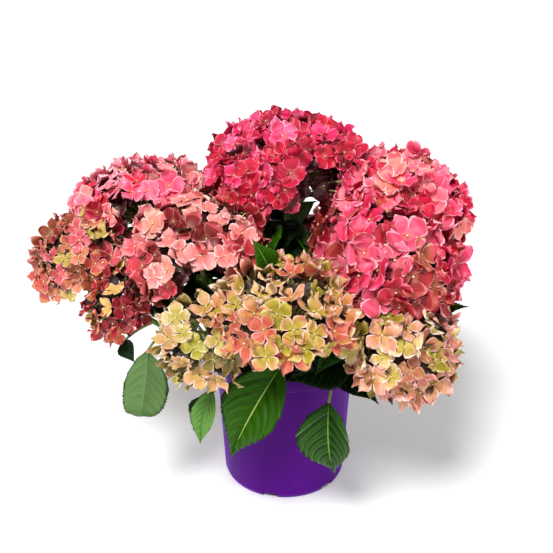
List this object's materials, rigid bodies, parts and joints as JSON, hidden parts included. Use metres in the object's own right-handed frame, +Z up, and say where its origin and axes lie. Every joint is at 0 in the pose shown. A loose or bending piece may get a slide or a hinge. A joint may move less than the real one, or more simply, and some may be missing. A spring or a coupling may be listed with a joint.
{
  "type": "potted hydrangea shrub",
  "caption": "Mophead hydrangea in flower, pink to peach rounded heads over serrated leaves, in a tapered violet plastic florist's pot.",
  "frame": {"origin": "middle of the pot's flat underside, on the surface that the pot stands on", "axes": "+X to the plant's right as it is seen from its front, +Y to its back, +Z up the pot's axis"},
  "size_m": [0.4238, 0.3953, 0.3806],
  "materials": {
    "pot_plastic": "satin moulded plastic, deep violet",
    "compost": "moist crumbly potting compost, dark brown",
    "bark": "dry flaking bark, grey brown",
    "cane": "smooth green young wood with pale dots",
    "foliage": "matt to satin serrated leaves with sunken veins, dark green",
    "bloom_top": "soft matt sepals, deep crimson pink",
    "bloom_upper_left": "soft matt sepals, coral pink",
    "bloom_far_left": "soft matt sepals, dusky rose with olive",
    "bloom_low_left": "soft matt sepals, dark crimson and cream",
    "bloom_left": "soft matt sepals, salmon pink",
    "bloom_front": "soft matt sepals, peach with yellow-green",
    "bloom_front_left": "soft matt sepals, cream with yellow-green",
    "bloom_upper_right": "soft matt sepals, rose red",
    "bloom_right": "soft matt sepals, bright pink",
    "bloom_lower_right": "soft matt sepals, pale peach with cream",
    "bloom_back_left": "soft matt sepals, coral pink",
    "bloom_back_right": "soft matt sepals, rose pink",
    "bloom_back": "soft matt sepals, pale salmon"
  },
  "bodies": {
    "root": {"pot": "pot_plastic", "compost": "compost", "crown": "bark", "cane_top": "cane", "cane_upper_left": "cane", "cane_far_left": "cane", "cane_low_left": "cane", "cane_left": "cane", "cane_front": "cane", "cane_front_left": "cane", "cane_upper_right": "cane", "cane_right": "cane", "cane_lower_right": "cane", "cane_back_left": "cane", "cane_back_right": "cane", "cane_back": "cane", "bloom_top": "bloom_top", "bloom_upper_left": "bloom_upper_left", "bloom_far_left": "bloom_far_left", "bloom_low_left": "bloom_low_left", "bloom_left": "bloom_left", "bloom_front": "bloom_front", "bloom_front_left": "bloom_front_left", "bloom_upper_right": "bloom_upper_right", "bloom_right": "bloom_right", "bloom_lower_right": "bloom_lower_right", "bloom_back_left": "bloom_back_left", "bloom_back_right": "bloom_back_right", "bloom_back": "bloom_back", "leaves_top": "foliage", "leaves_upper_left": "foliage", "leaves_far_left": "foliage", "leaves_low_left": "foliage", "leaves_left": "foliage", "leaves_front": "foliage", "leaves_front_left": "foliage", "leaves_upper_right": "foliage", "leaves_right": "foliage", "leaves_lower_right": "foliage", "leaves_back_left": "foliage", "leaves_back_right": "foliage", "leaves_back": "foliage"}
  },
  "joints": []
}
